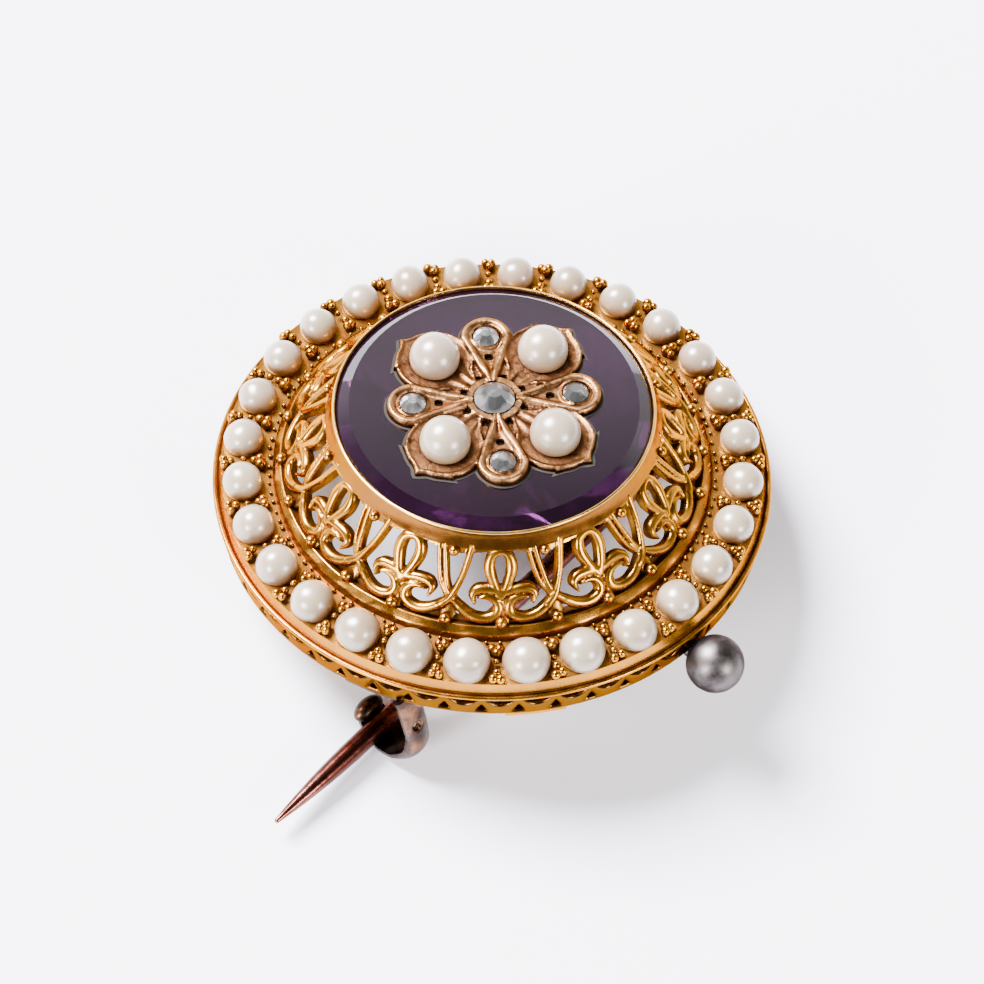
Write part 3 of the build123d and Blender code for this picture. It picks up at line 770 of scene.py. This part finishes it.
# Scalloped gallery: arcs hanging from the rim, with sunk lenses above, painted dark as shade, and
# small gaps below
ARCH_PITCH = 2 * math.pi * GALLERY_OUTER / ARCH_COUNT
GALLERY_COLUMNS = 28
GALLERY_ROWS = 30
LENS_TOP_Z = -0.36
LENS_EDGE_Z = -0.40
LENS_DROP = 0.62
LENS_HALF = 0.92
LENS_LIFT = -0.38
TRIANGLE_Z = BACK_Z + 0.22
TRIANGLE_HEIGHT = 0.48
TRIANGLE_HALF = 0.29
WALL_CROWN = 0.16
WALL_SHEET = 0.42


def gallery_fields(x, y):
    """Wall with a sunk lens above each hanging swag and an open triangle under each cusp."""
    grid_x, grid_y = np.meshgrid(x, y)
    aside = ARCH_PITCH / 2 - np.abs(grid_x)
    swag = LENS_EDGE_Z - LENS_DROP * (1 - (grid_x / LENS_HALF) ** 2)
    lens = np.minimum(grid_y - swag, LENS_TOP_Z - grid_y)
    rise = (grid_y - TRIANGLE_Z) / TRIANGLE_HEIGHT
    triangle = np.minimum(TRIANGLE_HALF * (1 - rise) - aside, rise * TRIANGLE_HEIGHT)
    clear = np.clip(-np.maximum(lens, triangle) / 0.20, 0, 1)
    lift = WALL_CROWN * (np.sqrt(1 - (1 - clear) ** 2) - 1)
    lift = np.where(lens > 0, LENS_LIFT, lift)
    return np.clip(-triangle, -0.2, 0.2), lift


def gallery_surface(x, y, height):
    """Points on the wall for a way round it, a height along the axis and a height off it."""
    angle = x / GALLERY_OUTER
    radius = GALLERY_OUTER + height
    return np.column_stack([radius * np.cos(angle), radius * np.sin(angle), y])


arch_x = (np.arange(GALLERY_COLUMNS) / GALLERY_COLUMNS - 0.5) * ARCH_PITCH
gallery_y = np.linspace(BACK_Z + 0.01, -RIM_DEPTH, GALLERY_ROWS)
arch_depth, arch_lift = gallery_fields(arch_x, gallery_y)
gallery_x = np.concatenate([arch_x + arch * ARCH_PITCH for arch in range(ARCH_COUNT)])
# Its shade range paints the sunk lenses fully dark and the wall's hollows partly: painted shade.
gallery = relief_sheet(
    "gallery", gallery_x, gallery_y, np.tile(arch_depth, ARCH_COUNT),
    np.tile(np.minimum(arch_lift, 0.0), ARCH_COUNT), gallery_surface, WALL_SHEET, shaded_wall_gold,
    (-0.30, -0.12), wrap=True,
)


def ball_points(centre, radius, rings=8, steps=14, squash=1.0):
    """Points and faces of a small ball, its poles along the brooch's axis."""
    points = [(centre[0], centre[1], centre[2] + radius * squash)]
    for ring in range(1, rings):
        tilt = math.pi * ring / rings
        for step in range(steps):
            turn = 2 * math.pi * step / steps
            points.append((
                centre[0] + radius * math.sin(tilt) * math.cos(turn),
                centre[1] + radius * math.sin(tilt) * math.sin(turn),
                centre[2] + radius * math.cos(tilt) * squash,
            ))
    points.append((centre[0], centre[1], centre[2] - radius * squash))
    faces = [(0, 1 + step, 1 + (step + 1) % steps) for step in range(steps)]
    for ring in range(rings - 2):
        for step in range(steps):
            a, b = 1 + ring * steps + step, 1 + ring * steps + (step + 1) % steps
            faces.append((a, a + steps, b + steps, b))
    last = len(points) - 1
    base = 1 + (rings - 2) * steps
    faces += [(last, base + (step + 1) % steps, base + step) for step in range(steps)]
    return points, faces


def joined(parts):
    """One list of points and one of faces from several."""
    points, faces = [], []
    for part_points, part_faces in parts:
        shift = len(points)
        points += part_points
        faces += [tuple(corner + shift for corner in face) for face in part_faces]
    return points, faces


# Beads in the trough at the cone's foot and under the bezel, and grains between the pearls
BEAD_SHARE = 0.115  # of the cone's slant
BEAD_RADIUS = 0.35
BEAD_TURN = -0.8
TOP_BEAD = (9.70, 4.66)  # radius and height
TOP_BEAD_RADIUS = 0.30
TOP_BEAD_TURN = -1.2

# One gap between two pearls. Columns: way out from the pearls' circle, degrees from the
# gap's middle, radius, height over the deck.
GRAINS = [
    (-1.02, 0.75, 0.31, 0.08), (-1.00, -0.85, 0.28, 0.06), (-0.66, 0.05, 0.27, 0.16),
    (-0.05, 0.0, 0.19, 0.20), (0.62, -0.10, 0.26, 0.16),
    (0.98, 0.85, 0.28, 0.06), (1.00, -0.75, 0.26, 0.04),
]
FRINGE_COUNT = 120
FRINGE_CIRCLE = 12.84
FRINGE_Z = 0.74
FRINGE_RADIUS = 0.125

grain_parts, bead_parts = [], []
random = np.random.default_rng(7)
bead_circle, bead_z = cone_place(BEAD_SHARE)
for unit in range(UNIT_COUNT):
    turn = UNIT_TURN + unit * UNIT_PITCH
    for shift in (0, UNIT_PITCH / 2):
        spot = at_angle(bead_circle + 0.02, turn + shift + BEAD_TURN, bead_z)
        bead_parts.append(ball_points(spot, BEAD_RADIUS, 10, 16))
    spot = at_angle(TOP_BEAD[0], turn + UNIT_PITCH / 2 + TOP_BEAD_TURN, TOP_BEAD[1])
    bead_parts.append(ball_points(spot, TOP_BEAD_RADIUS, 10, 16))
for step in range(PEARL_COUNT):
    turn = pearl_angle(step + 1.5)
    for outward, aside, size, rise in GRAINS:
        wobble = random.uniform(-1, 1, 4)
        spot = at_angle(
            PEARL_CIRCLE + outward + 0.06 * wobble[0], turn + aside + 0.22 * wobble[1],
            DECK_Z + rise + 0.05 * wobble[2],
        )
        grain_parts.append(ball_points(spot, size * (1 + 0.16 * wobble[3]), squash=1.1))
for step in range(FRINGE_COUNT):
    wobble = random.uniform(-1, 1, 3)
    degrees = step * 360 / FRINGE_COUNT + 0.4 * wobble[1]
    spot = at_angle(FRINGE_CIRCLE + 0.05 * wobble[0], degrees, FRINGE_Z)
    grain_parts.append(ball_points(spot, FRINGE_RADIUS + 0.03 * wobble[2], 6, 10))
beads = new_piece("beads", *joined(bead_parts), gold, 80)
grains = new_piece("grains", *joined(grain_parts), gold, 80)


def uneven_pearl(centre, radius, seed, base):
    """Slightly lumpy pearl, kept inside its radius and cut flat at its base."""
    points, faces = ball_points((0, 0, 0), 1.0, 22, 36)
    spin = np.random.default_rng(seed)
    waves = [
        (spin.normal(size=3), spin.uniform(0, 6.28), spin.uniform(0.010, 0.026))
        for _ in range(5)
    ]
    placed = []
    for point in points:
        way = np.array(point)
        size = 0.98
        for axis, phase, amount in waves:
            size += amount * (0.7 * math.sin(1.6 * float(axis @ way) + phase) - 0.4)
        spot = np.array(centre) + way * radius * min(size, 0.998)
        spot[2] = max(spot[2], base)
        placed.append(tuple(spot))
    return placed, faces


for number in range(1, PEARL_COUNT + 1):
    centre = at_angle(PEARL_CIRCLE, pearl_angle(number), PEARL_Z)
    ball = uneven_pearl(centre, pearl_radius(number), number + 2, PEARL_BASE_Z + 0.01)
    piece = new_piece(f"pearl_{number:02d}", *ball, pearl, 60)
    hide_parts(f"border_pearl_{number:02d}")


# Flower: raised teardrops and cusped corner petals, cut from one sheet. Heights are above
# the stone's table, and u runs out along a petal's middle line with v across it.
FLOWER_HALF = 7.1
FLOWER_LINES = 204
FLOWER_THICKNESS = 0.08
FLOWER_LOWEST = 0.04
PETAL_ROOT = (1.35, 0, 0.32)
WEB_TOP = CORNER_TOP - 0.16
HUB_RIM = 0.45
HUB_TOP = FLOWER_TOP - 0.12
HUMP_SPREAD = math.radians(36)
CUSP_BOW = 0.10
CORNER_EDGE = 0.12
CORNER_DISH = 0.09
TEARDROP_EDGE = 0.16
TEARDROP_RISE = 0.24
TEARDROP_DISH = 0.20
SEAT_RIM = 0.22
SEAT_FLOOR = 0.14
CENTRE_FLOOR = 0.12
TIP_HOLE_SPOT = 3.15
TIP_HOLE_RADIUS = 0.24
HUB_HOLE_SPOT = 1.80
HUB_HOLE_RADIUS = 0.17


def along_petal(x, y, degrees):
    """Grids x and y turned into a petal's own u and v."""
    angle = math.radians(degrees)
    return x * math.cos(angle) + y * math.sin(angle), -x * math.sin(angle) + y * math.cos(angle)


def corner_petal(u, v):
    """Depth inside a cusped corner petal, and its dished, rayed height."""
    circle = CORNER_RADIUS - np.hypot(u - CORNER_SPOT, v)
    hump_u = CORNER_SPOT + CORNER_RADIUS * math.cos(HUMP_SPREAD)
    hump_v = CORNER_RADIUS * math.sin(HUMP_SPREAD)
    run, rise = CORNER_SPOT + CUSP_REACH - hump_u, -hump_v
    flank = ((u - hump_u) * rise - (np.abs(v) - hump_v) * run) / math.hypot(run, rise)
    bow = CUSP_BOW * np.sin(np.clip((u - hump_u) / run, 0, 1) * math.pi)
    cusp = np.where(u > hump_u - 0.4, np.minimum(flank - bow, u - hump_u + 0.4), -1e9)
    wedge, _ = ribbon_depth(u, v, np.array([PETAL_ROOT, (CORNER_SPOT, 0, CORNER_RADIUS)]))
    inside = np.maximum(np.maximum(circle, cusp), wedge)
    edge = np.clip(inside / CORNER_EDGE, 0, 1)
    height = CORNER_TOP - CORNER_EDGE + CORNER_EDGE * np.sin(edge * math.pi / 2)
    height = height - CORNER_DISH * np.clip((inside - 0.14) / 0.16, 0, 1)
    inward = np.clip((CORNER_SPOT - 1.1 - u) / 0.8, 0, 1)
    rays = 0.5 + 0.5 * np.cos(np.arctan2(v, np.maximum(u, 0.2)) * 22)
    return inside, height - 0.10 * inward * rays


def teardrop(u, v):
    """Depth inside a teardrop petal, and its height with the stone's seat and a small hole."""
    inside, _ = ribbon_depth(u, v, np.array([PETAL_ROOT, (TEARDROP_SPOT, 0, TEARDROP_RADIUS)]))
    edge = np.clip(inside / TEARDROP_EDGE, 0, 1)
    height = FLOWER_TOP - TEARDROP_RISE + TEARDROP_RISE * np.sin(edge * math.pi / 2)
    slope = np.clip((inside - 0.30) / 0.35, 0, 1)
    height = height - TEARDROP_DISH * slope * slope * (3 - 2 * slope)
    ring = np.hypot(u - TEARDROP_SPOT, v)
    seat = np.clip((PETAL_DIAMOND_RADIUS + SEAT_RIM - ring) / 0.14, 0, 1)
    height = height + 0.16 * seat * np.clip((ring - PETAL_DIAMOND_RADIUS + 0.02) / 0.04, 0, 1)
    inward = np.clip((TEARDROP_SPOT - 1.0 - u) / 1.5, 0, 1)
    height = height - 0.05 * inward * (0.5 + 0.5 * np.cos(v / np.maximum(u, 0.4) * 30))
    hole = np.hypot(u - TIP_HOLE_SPOT, v)
    return inside, np.where(hole < TIP_HOLE_RADIUS, height - 0.35, height)


def flower_fields(x, y):
    """Depth and height of the whole flower, with room left for its stones."""
    grid_x, grid_y = np.meshgrid(x, y)
    middle = np.hypot(grid_x, grid_y)
    depth = WEB_RADIUS - middle
    lift = np.where(depth > 0, WEB_TOP, -1e9)
    lift = np.where(CENTRE_DIAMOND_RADIUS + HUB_RIM - middle > 0, HUB_TOP, lift)
    for quarter in range(4):
        inside, height = corner_petal(*along_petal(grid_x, grid_y, 90 * quarter + 45))
        depth = np.maximum(depth, inside)
        lift = np.where(inside > 0, np.maximum(lift, height), lift)
    for quarter in range(4):
        inside, height = teardrop(*along_petal(grid_x, grid_y, 90 * quarter))
        depth = np.maximum(depth, inside)
        under = np.where(inside > 0.12, -1e9, lift)
        lift = np.where(inside > 0, np.maximum(height, under), lift)
    for step in range(8):
        u, v = along_petal(grid_x, grid_y, 22.5 + 45 * step)
        lift = np.where(np.hypot(u - HUB_HOLE_SPOT, v) < HUB_HOLE_RADIUS, lift - 0.4, lift)
    lift = np.where(middle < CENTRE_DIAMOND_RADIUS + 0.03, CENTRE_FLOOR, lift)
    for quarter in range(4):
        u, v = along_petal(grid_x, grid_y, 90 * quarter)
        ring = np.hypot(u - TEARDROP_SPOT, v)
        lift = np.where(ring < PETAL_DIAMOND_RADIUS + 0.02, SEAT_FLOOR, lift)
    return depth, np.maximum(lift, FLOWER_LOWEST)


def flower_surface(x, y, height):
    """Points over the stone's table."""
    angle = math.radians(FLOWER_TURN)
    return np.column_stack([
        x * math.cos(angle) - y * math.sin(angle),
        x * math.sin(angle) + y * math.cos(angle),
        TABLE_Z + height,
    ])


flower_line = np.linspace(-FLOWER_HALF, FLOWER_HALF, FLOWER_LINES)
flower_depth, flower_lift = flower_fields(flower_line, flower_line)
# Its shade range darkens the flower's low places: painted shade with dirt.
flower = relief_sheet(
    "flower", flower_line, flower_line, flower_depth, flower_lift, flower_surface,
    FLOWER_THICKNESS, rose_gold, (0.10, 0.40),
)

# Hook: a drilled barrel-shaped strip that bends round to a rolled lip, on a foot plate
HOOK_CENTRE = np.array([13.749, 5.1236, -5.7561])
HOOK_LINE = 1.873  # radius of the strip's middle line
HOOK_STRIP = 0.45
HOOK_HALF = 1.15
HOOK_BULGE = 0.46
HOOK_EDGE = 0.24
HOOK_LIP_ANGLE = 200.0
HOOK_BULGE_ANGLE = 285.0
HOOK_RISE_ANGLE = 352.0
HOOK_BEND_STEPS = 40
HOOK_TOP = 4.05
HOOK_LEAN = 0.35
HOOK_HOLE_RISE = 1.7
HOOK_HOLE_RADIUS = 0.36
HOOK_LIP_HALF = (1.02, 0.60, 0.60)
FOOT_SECTION = [(12.50, -2.12), (15.70, -2.12), (15.70, -1.79), (12.50, -1.79)]
FOOT_START = 12.0
FOOT_SWEEP = 17.0
PIN_WAY = np.array([math.cos(PIN_FALL), 0, -math.sin(PIN_FALL)])
HOOK_SIDE = np.array([0, 1, 0])
HOOK_UP = np.cross(PIN_WAY, HOOK_SIDE)


def hook_path():
    """Strip's middle line from the lip to the back ring.

    Gives the length so far, the columns side, up and share of bulge, and the way outward.
    """
    spots = []
    for degrees in np.linspace(HOOK_LIP_ANGLE, HOOK_RISE_ANGLE, HOOK_BEND_STEPS):
        angle = math.radians(degrees)
        ease = (degrees - HOOK_BULGE_ANGLE) / (HOOK_RISE_ANGLE - HOOK_BULGE_ANGLE)
        ease = min(max(ease, 0), 1)
        bulge = ease * ease * (3 - 2 * ease)
        spots.append((HOOK_LINE * math.cos(angle), HOOK_LINE * math.sin(angle), bulge))
    side, up, _ = spots[-1]
    for share in np.linspace(0, 1, 31)[1:]:
        spots.append((side - HOOK_LEAN * share**2, up + (HOOK_TOP - up) * share, 1 - share**2))
    spots = np.array(spots)
    way = np.gradient(spots[:, :2], axis=0)
    way /= np.linalg.norm(way, axis=1)[:, None]
    steps = np.linalg.norm(np.diff(spots[:, :2], axis=0), axis=1)
    length = np.concatenate([[0], np.cumsum(steps)])
    return length, spots, np.column_stack([way[:, 1], -way[:, 0]])


hook_length, hook_spots, hook_out = hook_path()


def hook_surface(x, y, height):
    """Points on the strip for a place across it, a length along it and a height above it."""
    side, up, bulge = (np.interp(y, hook_length, hook_spots[:, column]) for column in range(3))
    out_side, out_up = (np.interp(y, hook_length, hook_out[:, column]) for column in range(2))
    crown = height + HOOK_BULGE * bulge * (1 - (x / HOOK_HALF) ** 2) + HOOK_STRIP / 2
    return (
        HOOK_CENTRE
        + np.outer(side + out_side * crown, HOOK_SIDE)
        + np.outer(up + out_up * crown, HOOK_UP)
        - np.outer(x, PIN_WAY)
    )


def hook_fields(x, y):
    """Depth and lift of the strip: narrower at its lip and on its upper near side, drilled."""
    strip_x, strip_y = np.meshgrid(x, y)
    along = strip_y / hook_length[-1]
    at_lip = np.clip(1 - along / 0.2, 0, 1)
    near_cut = 0.55 * np.clip((along - 0.35) / 0.3, 0, 1) + 0.25 * at_lip
    far_cut = 0.05 + 0.30 * at_lip
    inside = np.minimum(strip_x + HOOK_HALF - near_cut, HOOK_HALF - far_cut - strip_x)
    edge = np.clip(inside / 0.30, 0, 1)
    lift = HOOK_EDGE * (np.sqrt(1 - (1 - edge) ** 2) - 1)
    rising = slice(HOOK_BEND_STEPS, None)
    hole_y = np.interp(HOOK_HOLE_RISE, hook_spots[rising, 1], hook_length[rising])
    hole = np.hypot(strip_x - 0.10, strip_y - hole_y) - HOOK_HOLE_RADIUS
    return np.minimum(inside, hole), lift - 0.10 * np.clip(1 - hole / 0.12, 0, 1)


hook_x = np.linspace(-HOOK_HALF, HOOK_HALF, 33)
hook_y = np.linspace(0, hook_length[-1], 120)
hook_strip = relief_sheet(
    "hook_strip", hook_x, hook_y, *hook_fields(hook_x, hook_y), hook_surface, HOOK_STRIP,
    hook_metal, (-1.0, 0.0),
)
lip_angle = math.radians(HOOK_LIP_ANGLE)
lip_middle = HOOK_CENTRE + HOOK_LINE * (
    math.cos(lip_angle) * HOOK_SIDE + math.sin(lip_angle) * HOOK_UP
)
lip_axes = [half * way for half, way in zip(HOOK_LIP_HALF, (PIN_WAY, HOOK_SIDE, HOOK_UP))]
ball, ball_faces = ball_points((0, 0, 0), 1.0, 20, 32)
lip_points = [lip_middle + sum(part * way for part, way in zip(spot, lip_axes)) for spot in ball]
hook_lip = new_piece("hook_lip", lip_points, ball_faces, hook_metal, 80)
hook_foot = turned("hook_foot", FOOT_SECTION, hook_metal, 16, FOOT_START, FOOT_SWEEP)
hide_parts("hook")

# Thin near-black film on the stone, a little wider than the flower: a painted shadow round its edge
FILM_MARGIN = 0.15
FILM_LIFT = 0.03
relief_sheet(
    "shadow_film", flower_line, flower_line, flower_depth + FILM_MARGIN,
    np.full(flower_depth.shape, FILM_LIFT), flower_surface, 0.0, grime_and_shade, (-1.0, 0.0),
)

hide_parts("gold_frame")
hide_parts("flower_mount")


def paint(node, material):
    """Give a CAD node its material."""
    mesh = frame["nodes"][node].data
    mesh.materials.clear()
    mesh.materials.append(material)


def soften(node, width):
    """Round off a CAD node's sharp edges."""
    bevel = frame["nodes"][node].modifiers.new("soft_edges", "BEVEL")
    bevel.width = width * MM
    bevel.segments = 3
    bevel.limit_method = "ANGLE"
    bevel.angle_limit = math.radians(35)


soften("hinge", 0.10)
paint("amethyst", amethyst)
paint("hinge", hook_metal)
paint("hinge_rivet", hook_metal)
paint("pin", pin_metal)
paint("ball_knob", knob_silver)
paint("centre_diamond", clear_stone)
for number in range(1, 5):
    paint(f"petal_diamond_{number}", clear_stone)
    paint(f"petal_pearl_{number}", pearl)

# Floor, light and camera
FLOOR_SIZE = 2.0

bpy.ops.mesh.primitive_plane_add(size=FLOOR_SIZE)
floor = bpy.context.object
floor.name = "floor"
floor.data.materials.append(plain_material("floor_white", (0.868, 0.852, 0.945), 0.75))

world = bpy.data.worlds.new("studio")
world.use_nodes = True
bpy.context.scene.world = world

SIDE_FADE = (0.25, 0.65)  # of a way's share towards the far side
HEIGHT_FADE = (0.585, 0.655)  # of its share upward, 36 to 41 degrees


def light_room(tree, far_way, bright, dim, dark):
    """Backdrop, bright on the far side and dim on the near one, dark overhead."""
    way = tree.nodes.new("ShaderNodeTexCoord").outputs["Generated"]
    parts = tree.nodes.new("ShaderNodeSeparateXYZ")
    tree.links.new(way, parts.inputs[0])
    far = tree.nodes.new("ShaderNodeVectorMath")
    far.operation = "DOT_PRODUCT"
    far.inputs[1].default_value = far_way
    tree.links.new(way, far.inputs[0])
    ranges = []
    for value, (low, high), first, last in (
        (far.outputs["Value"], SIDE_FADE, dim, bright),
        (parts.outputs["Z"], HEIGHT_FADE, 1.0, 0.0),
    ):
        span = tree.nodes.new("ShaderNodeMapRange")
        span.interpolation_type = "SMOOTHSTEP"
        limits = {"From Min": low, "From Max": high, "To Min": first, "To Max": last}
        for name, number in limits.items():
            span.inputs[name].default_value = number
        tree.links.new(value, span.inputs["Value"])
        ranges.append(span.outputs["Result"])
    strength = tree.nodes.new("ShaderNodeMath")
    strength.operation = "MULTIPLY_ADD"
    tree.links.new(ranges[0], strength.inputs[0])
    tree.links.new(ranges[1], strength.inputs[1])
    strength.inputs[2].default_value = dark
    background = tree.nodes["Background"]
    background.inputs["Color"].default_value = (1.0, 0.97, 0.96, 1)
    tree.links.new(strength.outputs[0], background.inputs["Strength"])


light_room(world.node_tree, (-0.833, -0.553, 0.0), 1.78, 0.33, 0.16)

CAMERA_TURN = math.radians(42.0)
CAMERA_CLIMB = math.radians(51.17)
CAMERA_ROLL = math.radians(1.7)
CAMERA_DISTANCE = 208.0
CAMERA_TARGET = Vector((1.115, 1.03, 0.0))
SENSOR = 36.0
LENS = 132.5

out = Vector((
    math.cos(CAMERA_CLIMB) * math.cos(CAMERA_TURN),
    math.cos(CAMERA_CLIMB) * math.sin(CAMERA_TURN),
    math.sin(CAMERA_CLIMB),
))
level_right = Vector((-math.sin(CAMERA_TURN), math.cos(CAMERA_TURN), 0))
level_up = out.cross(level_right)
right = level_right * math.cos(CAMERA_ROLL) + level_up * math.sin(CAMERA_ROLL)
up = out.cross(right)
turn = laid.to_3x3().normalized()
camera_data = bpy.data.cameras.new("camera")
camera_data.lens = LENS
camera_data.sensor_width = SENSOR
camera_data.clip_start = 0.01
camera_data.clip_end = 10.0
camera = bpy.data.objects.new("camera", camera_data)
bpy.context.scene.collection.objects.link(camera)
axes = Matrix((turn @ right, turn @ up, turn @ out)).transposed()
place = laid @ (CAMERA_TARGET + out * CAMERA_DISTANCE)
camera.matrix_world = Matrix.Translation(place) @ axes.to_4x4()
bpy.context.scene.camera = camera


def soft_light(name, way, distance, size, power, tint):
    """Round light at a distance in metres, along a way given in the camera's axes."""
    data = bpy.data.lights.new(name, "AREA")
    data.shape = "DISK"
    data.size = size
    data.energy = power
    data.color = tint
    light = bpy.data.objects.new(name, data)
    bpy.context.scene.collection.objects.link(light)
    spot = (axes @ Vector(way)).normalized() * distance
    light.location = spot
    light.rotation_euler = (-spot).to_track_quat("-Z", "Y").to_euler()


KEY_TINT = (1.0, 0.985, 0.95)
FILL_TINT = (0.985, 0.975, 1.0)
soft_light("left_key", (-0.62, -0.34, 0.70), 0.60, 0.20, 7.5, KEY_TINT)
soft_light("right_key", (0.66, -0.34, 0.66), 0.60, 0.20, 5.0, KEY_TINT)
soft_light("back_fill", (-0.45, 0.73, 0.51), 0.85, 0.42, 66.0, FILL_TINT)
